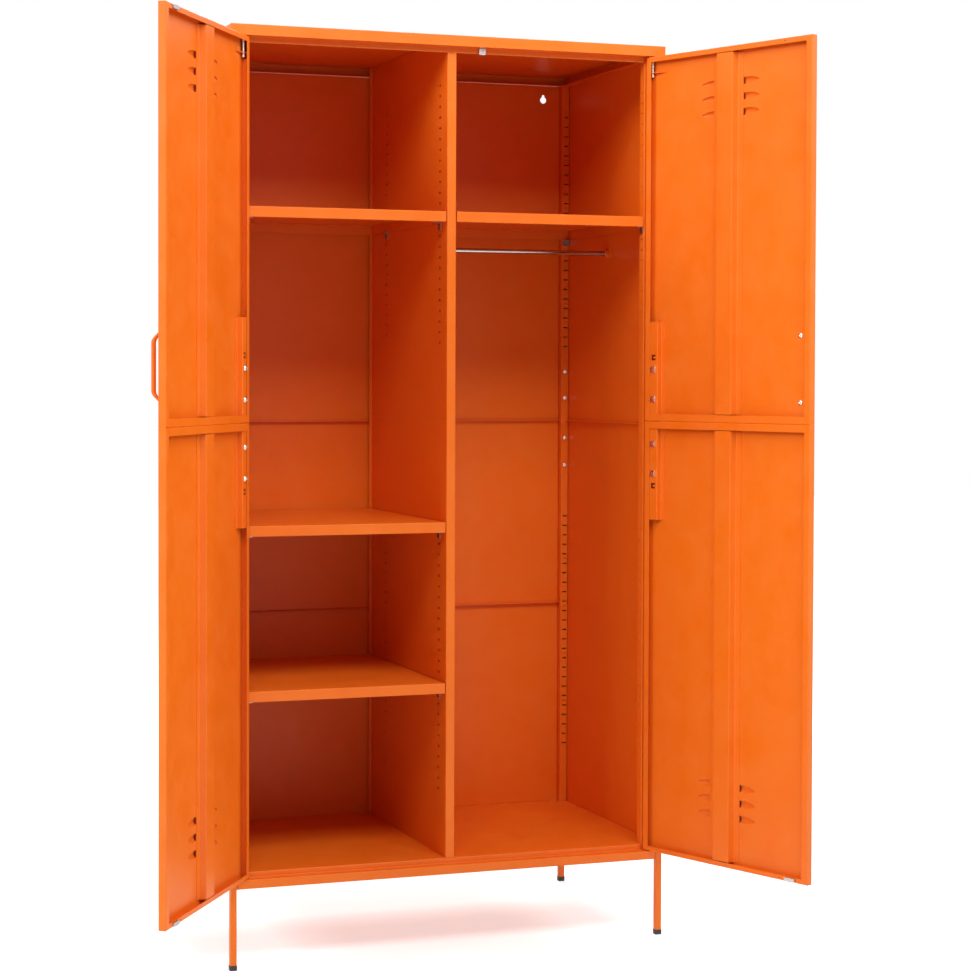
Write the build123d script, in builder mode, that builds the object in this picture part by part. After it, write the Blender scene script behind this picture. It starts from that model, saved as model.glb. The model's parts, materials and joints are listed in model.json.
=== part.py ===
"""Two-door steel school locker on legs, with a divider, shelves and a hanging rail.

The cabinet stands on the floor at Z = 0 and faces -Y. Both doors stand open, at the angles named
below, and the origin is the middle of the floor area that the cabinet and its open doors cover.
Every panel is a piece of folded sheet steel.
"""

import os
from math import cos, radians, sin

from build123d import *

# Cabinet
width = 850
depth = 500
height = 1700
sheet = 0.8
bend = 1.6
clear = 0.3
base_height = 146.5
top_fascia = 19.7
bottom_fascia = 16.6
rebate_depth = 18.2
stop_lip = 10.5
floor_top = 173.5
jamb_face = 13.3
jamb_inner = 389.5
jamb_return = 20
seam_height = 979
seam_flange = 8
return_width = 20

# Rear corner posts and back panels
post_width = 17
post_depth = 25
back_inset = 11
back_seam = 595
back_ledge = 9.7
keyhole_x = 370
keyhole_z = 1650
keyhole_radius = 6.8
keyhole_slot = 6
keyhole_rise = 8

# Divider
divider_width = 17.6
divider_rear = 479
divider_flange = 5.6
divider_seam = 987
insert_low = 900
insert_high = 1075
insert_depth = 30

# Shelf holes, shelves and clips
hole_pitch = 20
hole_count = 25
upper_row_top = 1614
lower_row_top = 777
slot_length = 10
slot_height = 2.5
mark_every = 5
mark_radius = 1.2
peg_slot_height = 3.4
front_row = 60
rear_row = 382
shelf_fold = 19.3
shelf_lip = 12
shelf_gap = 1.7
shelf_rear = 474.5
clip_width = 14
clip_reach = 11
clip_rise = 4
clip_drop = 9
clip_sheet = 1.2
top_shelf_hole = upper_row_top - 13 * hole_pitch
middle_shelf_hole = lower_row_top
bottom_shelf_hole = lower_row_top - 15 * hole_pitch

# Bolted joint between the upper and lower halves of the frame
joint_low = 835
joint_high = 1130
joint_bolts = (885, 942, 1026, 1081)
joint_tabs = (862, 1105)
tab_hole = 7
bolt_radius = 2.5
bolt_head = 4.5
bolt_head_height = 2.4

# Hanging rail
rail_radius = 5
rail_wall = 1
rail_y = 265
rail_z = 1319
socket_flange = 16
socket_radius = 7.5
socket_length = 10

# Legs
leg_side = 12
leg_wall = 1.2
leg_corner = 1.5
leg_plate = 34
plate_thickness = 2.5
screw_inset = 29
cap_side = 13.5
cap_height = 9.5
cap_floor = 2

# Doors, measured across from the hinge edge (u) and inwards from the outer face (w)
left_angle = 123.8
right_angle = 111.3
pivot_x = 400.7
pivot_u = 8.9
pivot_w = 5
door_width = 408.5
door_depth = 14
door_bottom = 164.6
door_top = 1678.5
door_seam = 987
side_lip = 13
top_lip = 10
bottom_lip = 9
seam_lip = 14
stiffener_u = 199.5
stiffener_flat = 39
stiffener_foot = 12
stiffener_slope = 4
stiffener_w = 13.4
louvre_columns = (151.5, 255)
louvre_top = 1614
louvre_bottom = 256.6
louvre_pitch = 28.3
louvre_count = 3
louvre_length = 38
louvre_height = 14
louvre_depth = 5
louvre_tail = 0.35
strap_low = 799
strap_high = 1176
strap_w = 12.6
strap_edge = 32
strap_foot = 9
strap_bolt_u = 21.5
strap_bolts = (887.5, 943.5, 1028.5, 1085)
strap_tabs = (864, 1108)
strap_head = 5.5
seat_width = 10
handle_u = 374.5
handle_z = 1086.2
handle_span = 120
handle_reach = 25
handle_radius = 4
handle_bend = 14
handle_screw = 2
magnet_u = 370
magnet_width = 24
magnet_height = 7
magnet_thickness = 4
catch_x = 58.5
catch_width = 13
catch_height = 12
lip_hole_u = 345
lip_hole = 1.6

# Sprung top pivot and fixed bottom pivot
pin_radius = 2.5
running_fit = 0.05
pin_tip = 1684.8
knob_low = 1640.5
knob_height = 5
knob_radius = 3.4
guide_z = 1648
guide_reach = 10
guide_thickness = 1
collar_z = 1671
collar_radius = 3.9
collar_height = 1.2
pin_travel = 6
spring_radius = 3.3
spring_wire = 0.4
spring_turns = 5
bracket_edge = 40
bracket_start = 14
bracket_rise = 8
bush_radius = 3.8
bush_flange = 4.8
bush_length = 4
bottom_pin_low = 157.5
bottom_pin_head = 4

LEFT = -1
RIGHT = 1
side_names = {LEFT: "left", RIGHT: "right"}

# Heights and lines that follow from the driving sizes
rebate_top = height - top_fascia
rebate_bottom = base_height + bottom_fascia
wall_face = width / 2 - sheet
jamb_outer = width / 2 - jamb_face
post_inner = width / 2 - post_width
post_front = depth - post_depth
post_centre = width / 2 - post_width / 2
back_face = depth - back_inset
plate_top = base_height + plate_thickness
jamb_back = rebate_depth + jamb_return
row_tops = (upper_row_top, lower_row_top)

# The open doors set the floor area: the two handles, the free edge of the right door and the
# caps of the rear legs are its outermost places.
door_reach = door_width - pivot_u
cap_overhang = (cap_side - leg_side) / 2


def reach_sideways(angle):
    """How far a door opened by this angle goes from the cabinet's middle, to its handle."""
    along_door = -(handle_u - pivot_u) * cos(radians(angle))
    off_door = (handle_reach - handle_radius + pivot_w) * sin(radians(angle))
    return pivot_x + along_door + off_door + handle_radius


reach_forward = door_reach * sin(radians(right_angle)) - pivot_w
reach_forward -= (door_depth - pivot_w) * cos(radians(right_angle))
reach_forward -= bend * (sin(radians(right_angle)) - cos(radians(right_angle)) - 1)
cabinet_x = (reach_sideways(left_angle) - reach_sideways(right_angle)) / 2
cabinet_y = (reach_forward - depth - cap_overhang) / 2

cabinet = Plane(origin=(cabinet_x, cabinet_y, 0))


def door_frame(side, angle):
    """Frame of an open door: origin on its pivot at floor level, X across, Y inwards, Z up."""
    turn = radians(side * angle)
    pivot = (cabinet_x + side * pivot_x, cabinet_y + pivot_w, 0)
    return Plane(origin=pivot, x_dir=(cos(turn), sin(turn), 0), z_dir=(0, 0, 1))


doors = {LEFT: door_frame(LEFT, left_angle), RIGHT: door_frame(RIGHT, right_angle)}


# ---------------------------------------------------------------------------------------------
# Sketch planes, places and common shapes
# ---------------------------------------------------------------------------------------------


def within(frame, plane):
    """A plane given in a frame's own coordinates."""
    return Plane(frame.location * plane.location)


def level(frame, z):
    """Horizontal sketch plane at height z: sketch X and Y are the frame's."""
    return within(frame, Plane.XY.offset(z))


def wall(frame, y):
    """Upright sketch plane at depth y, facing the front: sketch X and Z are the frame's."""
    return within(frame, Plane.XZ.offset(-y))


def section(frame, x):
    """Upright sketch plane at x, facing +X: its sketch axes are the frame's Y and Z."""
    return within(frame, Plane.YZ.offset(x))


def skin(side, w):
    """Upright sketch plane of a door, w inwards from its outer face."""
    return wall(doors[side], w - pivot_w)


def across(side, u):
    """Sketch X of a point that lies u from the hinge edge of a door."""
    return side * (pivot_u - u)


def facing(frame, point, normal):
    """Place at a point with its Z along a horizontal normal and its Y upright."""
    out = Vector(*normal)
    place = Plane(origin=point, x_dir=Vector(0, 0, 1).cross(out), z_dir=out)
    return within(frame, place)


def folded_sheet(points, side):
    """Section of a folded sheet: an outer line with rounded bends, thickened to one side."""
    with BuildSketch() as profile:
        with BuildLine():
            FilletPolyline(points, radius=bend)
            offset(amount=sheet, side=side)
        make_face()
    return profile.sketch


def door_fold(side, points):
    """Plan section of a sheet folded along a door, from points (u, w) on its inner face."""
    line = [(across(side, u), w - pivot_w) for u, w in points]
    return folded_sheet(line, Side.RIGHT if side == LEFT else Side.LEFT)


def button_bolt(head_radius, head_height, shank_radius, shank_length):
    """Round-headed bolt or screw along Z, its head above the seat at Z = 0."""
    with BuildPart() as bolt:
        with BuildSketch(Plane.XY):
            Circle(head_radius)
        extrude(amount=head_height)
        fillet(bolt.faces().sort_by(Axis.Z)[-1].edges(), radius=head_height * 0.7)
        with BuildSketch(Plane.XY):
            Circle(shank_radius)
        extrude(amount=-shank_length)
    return bolt.part


def hole_heights(row_top):
    """Heights of one row of shelf holes, from the top down."""
    return [row_top - hole_pitch * n for n in range(hole_count)]


def mark_heights(row_top):
    """Small index marks stand half a pitch above every fifth hole."""
    return [row_top - hole_pitch * (n - 0.5) for n in range(mark_every, hole_count, mark_every)]


def save(piece, name):
    """Label a finished piece and write it to its own file."""
    piece.part.label = name
    export_step(piece.part, f"parts/{name}.step")


os.makedirs("parts", exist_ok=True)

# ---------------------------------------------------------------------------------------------
# Top and bottom panels
# ---------------------------------------------------------------------------------------------

with BuildPart() as top_panel:
    with BuildSketch(level(cabinet, rebate_top)):
        with Locations((0, depth / 2)):
            Rectangle(width, depth)
    extrude(amount=top_fascia)
    lid = top_panel.faces().sort_by(Axis.Z)[-1]
    fillet(lid.edges() + top_panel.edges().filter_by(Axis.Z), radius=bend)
    with BuildSketch(level(cabinet, rebate_top + sheet)):
        with Locations((0, depth / 2)):
            Rectangle(width - 2 * sheet, depth - 2 * sheet)
    extrude(amount=top_fascia - 2 * sheet, mode=Mode.SUBTRACT)
    # The underside is open inside its return lips
    with BuildSketch(level(cabinet, rebate_top)):
        with Locations((0, rebate_depth + sheet)):
            opening = depth - return_width - rebate_depth - sheet
            Rectangle(2 * post_inner, opening, align=(Align.CENTER, Align.MIN))
        with Locations((-pivot_x, pivot_w), (pivot_x, pivot_w)):
            Circle(bush_radius + running_fit)
    extrude(amount=sheet, mode=Mode.SUBTRACT)
    # Lip that stops the doors
    with BuildSketch(wall(cabinet, rebate_depth + sheet)):
        with Locations((0, rebate_top - stop_lip)):
            lip_width = 2 * (jamb_inner - clear)
            Rectangle(lip_width, stop_lip + sheet, align=(Align.CENTER, Align.MIN))
    extrude(amount=sheet)
save(top_panel, "top_panel")

with BuildPart() as bottom_panel:
    # Fascia and rebate ledge, between the front strips of the side panels
    fascia_half = jamb_outer - 2 * clear
    ledge = [
        (return_width, base_height),
        (0, base_height),
        (0, rebate_bottom),
        (rebate_depth - 2 * clear, rebate_bottom),
    ]
    with BuildSketch(section(cabinet, -fascia_half)):
        add(folded_sheet(ledge, Side.RIGHT))
    extrude(amount=2 * fascia_half)
    # Riser and floor, with the rear edge turned down
    riser_half = jamb_inner - clear
    floor = [
        (rebate_depth / 2, rebate_bottom),
        (rebate_depth, rebate_bottom),
        (rebate_depth, floor_top),
        (back_face - clear, floor_top),
        (back_face - clear, rebate_bottom),
    ]
    with BuildSketch(section(cabinet, -riser_half)):
        add(folded_sheet(floor, Side.RIGHT))
    extrude(amount=2 * riser_half)
    # The floor reaches the side walls behind the jambs
    with BuildSketch(level(cabinet, floor_top - sheet)):
        with Locations((0, jamb_back + clear)):
            wing_depth = post_front - jamb_back - 2 * clear
            Rectangle(2 * (wall_face - clear), wing_depth, align=(Align.CENTER, Align.MIN))
    extrude(amount=sheet)
    # The lower return stops at the leg plates, and the ledge takes the pivot bushes
    with BuildSketch(level(cabinet, base_height)):
        for side in (LEFT, RIGHT):
            with Locations((side * fascia_half, return_width / 2 + sheet)):
                Rectangle(2 * (fascia_half - jamb_inner + 3), return_width)
    extrude(amount=plate_thickness, mode=Mode.SUBTRACT)
    with BuildSketch(level(cabinet, rebate_bottom)):
        with Locations((-pivot_x, pivot_w), (pivot_x, pivot_w)):
            Circle(bush_radius + running_fit)
    extrude(amount=-bush_length, mode=Mode.SUBTRACT)
save(bottom_panel, "bottom_panel")

# ---------------------------------------------------------------------------------------------
# Side panels: jamb, wall and slotted rear post are folded from one sheet
# ---------------------------------------------------------------------------------------------


def side_fold(side):
    """Plan section of a side panel, from the jamb's return round to the face of the post."""
    line = [
        (jamb_inner, jamb_back),
        (jamb_inner, rebate_depth),
        (jamb_outer, rebate_depth),
        (jamb_outer, 0),
        (width / 2, 0),
        (width / 2, depth),
        (post_inner, depth),
        (post_inner, post_front),
        (wall_face - 1, post_front),
    ]
    mirrored = [(side * x, y) for x, y in line]
    return folded_sheet(mirrored, Side.LEFT if side == RIGHT else Side.RIGHT)


def side_flange(side, reach, start, end):
    """Plan of a flange that stands inwards from the side wall."""
    with BuildSketch() as flange:
        with Locations((side * (wall_face + sheet / 2 - reach / 2), (start + end) / 2)):
            Rectangle(reach, end - start)
    return flange.sketch


def post_holes(side, row_top):
    """Shelf slots, index marks, bolt holes and tab holes in the face of a rear post."""
    x = side * post_centre
    with BuildSketch() as holes:
        with Locations(*[(x, z) for z in hole_heights(row_top)]):
            SlotOverall(slot_length, slot_height)
        with Locations(*[(x, z) for z in mark_heights(row_top)]):
            Circle(mark_radius)
        with Locations(*[(x, z) for z in joint_bolts]):
            Circle(bolt_radius + running_fit)
        with Locations(*[(x, z) for z in joint_tabs]):
            Rectangle(tab_hole, tab_hole)
    return holes.sketch


for side, side_name in side_names.items():
    plan = side_fold(side)
    front_bolts = [(side * pivot_x, z) for z in joint_bolts]
    for half, low, high, row_top in (
        ("lower", base_height, seam_height, lower_row_top),
        ("upper", seam_height, rebate_top, upper_row_top),
    ):
        with BuildPart() as side_panel:
            with BuildSketch(level(cabinet, low)):
                add(plan)
            extrude(amount=high - low)
            if half == "lower":
                # The folds stop above the leg plates, and a flange closes them
                with BuildSketch(level(cabinet, low)):
                    with Locations((side * (wall_face - 50), depth / 2)):
                        Rectangle(100, depth - 2 * sheet)
                extrude(amount=plate_thickness, mode=Mode.SUBTRACT)
                with BuildSketch(level(cabinet, plate_top)):
                    add(side_flange(side, leg_plate, sheet + clear, depth - sheet - clear))
                    for y in (screw_inset, depth - screw_inset):
                        with Locations((side * 398, y), (side * 416, y)):
                            Circle(bolt_radius + running_fit, mode=Mode.SUBTRACT)
                extrude(amount=sheet)
                seam_flange_low = high - sheet
            else:
                seam_flange_low = low
                with BuildSketch(level(cabinet, high - sheet)):
                    add(side_flange(side, seam_flange, jamb_back, post_front - 5))
                extrude(amount=sheet)
            with BuildSketch(level(cabinet, seam_flange_low)):
                add(side_flange(side, seam_flange, rebate_depth + 5, post_front - 5))
            extrude(amount=sheet)
            with BuildSketch(wall(cabinet, post_front + 2 * sheet)):
                add(post_holes(side, row_top))
            extrude(amount=3 * sheet, mode=Mode.SUBTRACT)
            with BuildSketch(section(cabinet, side * jamb_inner)):
                with Locations(*[(jamb_back - 10, z) for z in hole_heights(row_top)]):
                    SlotOverall(slot_length, slot_height)
            extrude(amount=2 * sheet, both=True, mode=Mode.SUBTRACT)
            with BuildSketch(wall(cabinet, rebate_depth + 2 * sheet)):
                with Locations(*front_bolts):
                    Circle(bolt_radius + running_fit)
            extrude(amount=3 * sheet, mode=Mode.SUBTRACT)
        save(side_panel, f"{side_name}_side_{half}")

# ---------------------------------------------------------------------------------------------
# Back panels: three trays whose seams are flanges that stand into the cabinet
# ---------------------------------------------------------------------------------------------

back_half = post_inner - clear
back_fold = [
    (-back_half, depth),
    (-back_half, back_face),
    (back_half, back_face),
    (back_half, depth),
]


def back_panel(name, low, high, ledges):
    """One back tray, with a forward ledge at each of the heights given."""
    plan = folded_sheet(back_fold, Side.LEFT)
    with BuildPart() as panel:
        with BuildSketch(level(cabinet, low)):
            add(plan)
        extrude(amount=high - low)
        for z in ledges:
            with BuildSketch(level(cabinet, z)):
                with Locations((0, back_face + sheet / 2)):
                    ledge_align = (Align.CENTER, Align.MAX)
                    Rectangle(2 * back_half, back_ledge + sheet / 2, align=ledge_align)
            extrude(amount=sheet)
        if name == "back_panel_upper":
            # Keyholes hang the cabinet on two wall screws
            with BuildSketch(wall(cabinet, back_face + 2 * sheet)):
                with Locations((-keyhole_x, keyhole_z), (keyhole_x, keyhole_z)):
                    Circle(keyhole_radius)
                    Rectangle(keyhole_slot, keyhole_rise, align=(Align.CENTER, Align.MIN))
                top = keyhole_z + keyhole_rise
                with Locations((-keyhole_x, top), (keyhole_x, top)):
                    Circle(keyhole_slot / 2)
            extrude(amount=3 * sheet, mode=Mode.SUBTRACT)
    save(panel, name)


back_panel("back_panel_lower", plate_top + 2 * sheet, back_seam, [back_seam - sheet])
back_panel("back_panel_middle", back_seam, seam_height, [back_seam, seam_height - sheet])
back_panel("back_panel_upper", seam_height, rebate_top - clear, [seam_height])

# ---------------------------------------------------------------------------------------------
# Divider: a hollow wall folded to a U, open to the back
# ---------------------------------------------------------------------------------------------

divider_half = divider_width / 2
divider_back = divider_rear - sheet
divider_fold = [
    (-divider_half - divider_flange, divider_back),
    (-divider_half, divider_back),
    (-divider_half, rebate_depth),
    (divider_half, rebate_depth),
    (divider_half, divider_back),
    (divider_half + divider_flange, divider_back),
]
divider_top = height - sheet - clear
divider_halves = {
    "lower": (floor_top, divider_seam, lower_row_top),
    "upper": (divider_seam, divider_top, upper_row_top),
}
for half, (low, high, row_top) in divider_halves.items():
    divider_plan = folded_sheet(divider_fold, Side.LEFT)
    with BuildPart() as divider:
        with BuildSketch(level(cabinet, low)):
            add(divider_plan)
        extrude(amount=high - low)
        with BuildSketch(section(cabinet, 0)):
            for y in (front_row, rear_row):
                with Locations(*[(y, z) for z in hole_heights(row_top)]):
                    SlotOverall(slot_length, peg_slot_height)
        extrude(amount=divider_width, both=True, mode=Mode.SUBTRACT)
        if half == "upper":
            # The front fits under the stop lip of the top panel
            with BuildSketch(section(cabinet, 0)):
                with Locations((rebate_depth, high)):
                    notch = high - rebate_top + stop_lip + clear
                    Rectangle(2 * (sheet + clear), 2 * notch)
            extrude(amount=divider_width, both=True, mode=Mode.SUBTRACT)
    save(divider, f"divider_{half}")

with BuildPart() as divider_insert:
    insert_half = divider_half - sheet - clear
    insert_front = rebate_depth + sheet + clear
    insert_fold = [
        (-insert_half, insert_front + insert_depth),
        (-insert_half, insert_front),
        (insert_half, insert_front),
        (insert_half, insert_front + insert_depth),
    ]
    with BuildSketch(level(cabinet, insert_low)):
        add(folded_sheet(insert_fold, Side.LEFT))
    extrude(amount=insert_high - insert_low)
save(divider_insert, "divider_joint_insert")

# ---------------------------------------------------------------------------------------------
# Joint pieces that tie the upper and lower halves of the frame
# ---------------------------------------------------------------------------------------------

with BuildPart() as rear_channels:
    for side in (LEFT, RIGHT):
        channel_fold = [
            (side * (post_inner + sheet + clear), post_front + sheet + 12),
            (side * (post_inner + sheet + clear), post_front + sheet),
            (side * (wall_face - clear), post_front + sheet),
            (side * (wall_face - clear), post_front + sheet + 12),
        ]
        with BuildSketch(level(cabinet, joint_low)):
            add(folded_sheet(channel_fold, Side.LEFT if side == RIGHT else Side.RIGHT))
        extrude(amount=joint_high - joint_low)
        with BuildSketch(wall(cabinet, post_front + 3 * sheet)):
            with Locations(*[(side * post_centre, z) for z in joint_bolts]):
                Circle(bolt_radius + running_fit)
        extrude(amount=3 * sheet, mode=Mode.SUBTRACT)
save(rear_channels, "rear_joint_channels")

with BuildPart() as front_plates:
    for side in (LEFT, RIGHT):
        with BuildSketch(wall(cabinet, rebate_depth + sheet)):
            with Locations((side * pivot_x, (joint_low + joint_high) / 2)):
                RectangleRounded(16, joint_high - joint_low, 3)
            with Locations(*[(side * pivot_x, z) for z in joint_bolts]):
                Circle(bolt_radius + running_fit, mode=Mode.SUBTRACT)
        extrude(amount=-2 * sheet)
save(front_plates, "front_joint_plates")

frame_bolt = button_bolt(bolt_head, bolt_head_height, bolt_radius, 5)
short_bolt = button_bolt(bolt_head, bolt_head_height, bolt_radius, 3 * sheet - clear)
with BuildPart() as frame_bolts:
    for side in (LEFT, RIGHT):
        rear_places = [(side * post_centre, post_front, z) for z in joint_bolts]
        with Locations(*[facing(cabinet, place, (0, -1, 0)) for place in rear_places]):
            add(frame_bolt)
        front_places = [(side * pivot_x, rebate_depth + 3 * sheet, z) for z in joint_bolts]
        with Locations(*[facing(cabinet, place, (0, 1, 0)) for place in front_places]):
            add(short_bolt)
save(frame_bolts, "frame_joint_bolts")

# ---------------------------------------------------------------------------------------------
# Shelves and the clips that carry them
# ---------------------------------------------------------------------------------------------


def shelf_outline(side, inset):
    """Plan of a shelf, notched round the door jamb, with its edges moved in by the inset."""
    inner = divider_half + shelf_gap + inset
    front_end = jamb_inner - clear - inset
    wall_end = wall_face - shelf_gap - inset
    notch_y = jamb_back + clear + inset
    with BuildSketch() as outline:
        with BuildLine():
            Polyline(
                (side * inner, rebate_depth + inset),
                (side * front_end, rebate_depth + inset),
                (side * front_end, notch_y),
                (side * wall_end, notch_y),
                (side * wall_end, shelf_rear - inset),
                (side * inner, shelf_rear - inset),
                close=True,
            )
        make_face()
    return outline.sketch


def shelf(name, side, hole):
    """Folded tray whose edges rest on clips in the holes at this height."""
    bottom = hole + clip_rise
    outside = shelf_outline(side, 0)
    inside = shelf_outline(side, sheet)
    with BuildPart() as tray:
        with BuildSketch(level(cabinet, bottom)):
            add(outside)
        extrude(amount=shelf_fold)
        front = tray.faces().sort_by(Axis.Y)[0]
        fillet(front.edges().sort_by(Axis.Z)[-1], radius=bend)
        with BuildSketch(level(cabinet, bottom)):
            add(inside)
        extrude(amount=shelf_fold - sheet, mode=Mode.SUBTRACT)
        with BuildSketch(level(cabinet, bottom)):
            middle = (divider_half + shelf_gap + jamb_inner - clear) / 2
            with Locations((side * middle, rebate_depth + sheet / 2)):
                lip_length = jamb_inner - clear - divider_half - shelf_gap
                Rectangle(lip_length, shelf_lip, align=(Align.CENTER, Align.MIN))
        extrude(amount=sheet)
    save(tray, name)


shelf("left_shelf_top", LEFT, top_shelf_hole)
shelf("left_shelf_middle", LEFT, middle_shelf_hole)
shelf("left_shelf_bottom", LEFT, bottom_shelf_hole)
shelf("right_shelf", RIGHT, top_shelf_hole)

with BuildPart() as clip:
    # Bent strip: a plate on the wall, a ledge under the shelf and a tab in the hole
    with BuildSketch(Plane.YZ):
        with BuildLine():
            Polyline(
                (-clip_drop, 0),
                (clip_rise, 0),
                (clip_rise, clip_reach),
                (clip_rise - clip_sheet, clip_reach),
                (clip_rise - clip_sheet, clip_sheet),
                (-clip_drop, clip_sheet),
                close=True,
            )
        make_face()
    extrude(amount=clip_width / 2, both=True)
    with BuildSketch(Plane.XY):
        Rectangle(3.6, 1.8)
    extrude(amount=-2.5)

with BuildPart() as shelf_clips:
    carried = [
        (LEFT, top_shelf_hole),
        (LEFT, middle_shelf_hole),
        (LEFT, bottom_shelf_hole),
        (RIGHT, top_shelf_hole),
    ]
    for side, z in carried:
        places = [
            facing(cabinet, (side * divider_half, front_row, z), (side, 0, 0)),
            facing(cabinet, (side * divider_half, rear_row, z), (side, 0, 0)),
            facing(cabinet, (side * jamb_inner, jamb_back - 10, z), (-side, 0, 0)),
            facing(cabinet, (side * post_centre, post_front, z), (0, -1, 0)),
        ]
        with Locations(*places):
            add(clip.part)
save(shelf_clips, "shelf_clips")

# ---------------------------------------------------------------------------------------------
# Hanging rail
# ---------------------------------------------------------------------------------------------

rail_start = divider_half + 2
rail_end = wall_face - 2
with BuildPart() as hanging_rail:
    with BuildSketch(section(cabinet, rail_start)):
        with Locations((rail_y, rail_z)):
            Circle(rail_radius)
            Circle(rail_radius - rail_wall, mode=Mode.SUBTRACT)
    extrude(amount=rail_end - rail_start)
save(hanging_rail, "hanging_rail")

with BuildPart() as socket:
    with BuildSketch(Plane.XZ):
        with BuildLine():
            Polyline(
                (0, 0),
                (socket_flange, 0),
                (socket_flange, 1),
                (socket_radius + 1, 2),
                (socket_radius, 3),
                (socket_radius, socket_length),
                (rail_radius + running_fit, socket_length),
                (rail_radius + running_fit, 1.6),
                (0, 1.6),
                close=True,
            )
        make_face()
    revolve(axis=Axis.Z)

with BuildPart() as rail_sockets:
    with Locations(
        facing(cabinet, (divider_half, rail_y, rail_z), (1, 0, 0)),
        facing(cabinet, (wall_face, rail_y, rail_z), (-1, 0, 0)),
    ):
        add(socket.part)
save(rail_sockets, "rail_sockets")

# ---------------------------------------------------------------------------------------------
# Legs, caps and leg screws
# ---------------------------------------------------------------------------------------------

leg_corners = {
    "front_left": (LEFT, leg_side / 2),
    "front_right": (RIGHT, leg_side / 2),
    "rear_left": (LEFT, depth - leg_side / 2),
    "rear_right": (RIGHT, depth - leg_side / 2),
}
leg_x = width / 2 - leg_side / 2
screw_x = (398, 416)


def leg_screw_places(side, y):
    """Plan points of the two screws of one leg plate."""
    screw_y = screw_inset if y < depth / 2 else depth - screw_inset
    return [(side * x, screw_y) for x in screw_x]


for corner, (side, leg_y) in leg_corners.items():
    plate_x = side * (wall_face - clear - leg_plate / 2)
    plate_inset = sheet + clear + leg_plate / 2
    plate_y = plate_inset if leg_y < depth / 2 else depth - plate_inset
    with BuildPart() as leg:
        with BuildSketch(level(cabinet, cap_floor)):
            with Locations((side * leg_x, leg_y)):
                RectangleRounded(leg_side, leg_side, leg_corner)
                bore = leg_side - 2 * leg_wall
                Rectangle(bore, bore, mode=Mode.SUBTRACT)
        extrude(amount=base_height - cap_floor)
        with BuildSketch(level(cabinet, base_height)):
            with Locations((plate_x, plate_y)):
                Rectangle(leg_plate, leg_plate)
            with Locations(*leg_screw_places(side, leg_y)):
                Circle(bolt_radius + running_fit, mode=Mode.SUBTRACT)
        extrude(amount=plate_thickness)
    save(leg, f"{corner}_leg")

    with BuildPart() as cap:
        with BuildSketch(level(cabinet, 0)):
            with Locations((side * leg_x, leg_y)):
                RectangleRounded(cap_side, cap_side, leg_corner + cap_overhang)
        extrude(amount=cap_height)
        fillet(cap.faces().sort_by(Axis.Z)[0].edges(), radius=leg_corner)
        with BuildSketch(level(cabinet, cap_floor)):
            with Locations((side * leg_x, leg_y)):
                pocket = leg_side + 2 * running_fit
                RectangleRounded(pocket, pocket, leg_corner)
        extrude(amount=cap_height, mode=Mode.SUBTRACT)
    save(cap, f"{corner}_cap")

leg_screw = button_bolt(bolt_head, bolt_head_height, bolt_radius, plate_thickness + 4)
with BuildPart() as leg_screws:
    for side, leg_y in leg_corners.values():
        for x, y in leg_screw_places(side, leg_y):
            head_down = Plane(origin=(x, y, base_height), z_dir=(0, 0, -1))
            with Locations(within(cabinet, head_down)):
                add(leg_screw)
save(leg_screws, "leg_screws")

# ---------------------------------------------------------------------------------------------
# Pivot bushes and door catch
# ---------------------------------------------------------------------------------------------

with BuildPart() as bush:
    with BuildSketch(Plane.XY):
        Circle(bush_flange)
    extrude(amount=1)
    with BuildSketch(Plane.XY):
        Circle(bush_radius)
    extrude(amount=-bush_length)
    with BuildSketch(Plane.XY.offset(1)):
        Circle(pin_radius + running_fit)
    extrude(amount=-bush_length - 1, mode=Mode.SUBTRACT)

with BuildPart() as pivot_bushes:
    for side in (LEFT, RIGHT):
        below_lid = Plane(origin=(side * pivot_x, pivot_w, rebate_top), z_dir=(0, 0, -1))
        on_ledge = Plane(origin=(side * pivot_x, pivot_w, rebate_bottom))
        with Locations(within(cabinet, below_lid), within(cabinet, on_ledge)):
            add(bush.part)
save(pivot_bushes, "pivot_bushes")

with BuildPart() as door_catch:
    with BuildSketch(wall(cabinet, rebate_depth)):
        with Locations((catch_x, rebate_top - catch_height / 2 - clear)):
            RectangleRounded(catch_width, catch_height, 1.5)
    extrude(amount=magnet_thickness)
    fillet(door_catch.faces().sort_by(Axis.Y)[0].edges(), radius=0.6)
save(door_catch, "door_catch")

# ---------------------------------------------------------------------------------------------
# Louvre: a pressed hood, open along its lower edge
# ---------------------------------------------------------------------------------------------


def louvre_body(inset):
    """Body of a louvre hood that stands out to -Y, with its surfaces moved in by the inset.

    The hood is widest at its open mouth, towards +X, and runs out to a low tail at the far end.
    """
    mouth = louvre_length / 2
    embed = sheet / 2 + inset
    with BuildPart() as body:
        sections = [(mouth + inset, 1), (0, 0.96), (inset - mouth, louvre_tail)]
        for x, share in sections:
            with BuildSketch(Plane.YZ.offset(x)):
                Ellipse(louvre_depth * share - inset, louvre_height / 2 * share - inset)
        loft()
        with BuildSketch(Plane.XY):
            with Locations((0, (embed - 2 * louvre_depth) / 2)):
                Rectangle(2 * louvre_length, 2 * louvre_depth + embed)
        extrude(amount=louvre_height, both=True, mode=Mode.INTERSECT)
    return body.part


louvre_hood = louvre_body(0)
louvre_hollow = louvre_body(sheet)

# ---------------------------------------------------------------------------------------------
# Doors
# ---------------------------------------------------------------------------------------------


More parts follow.
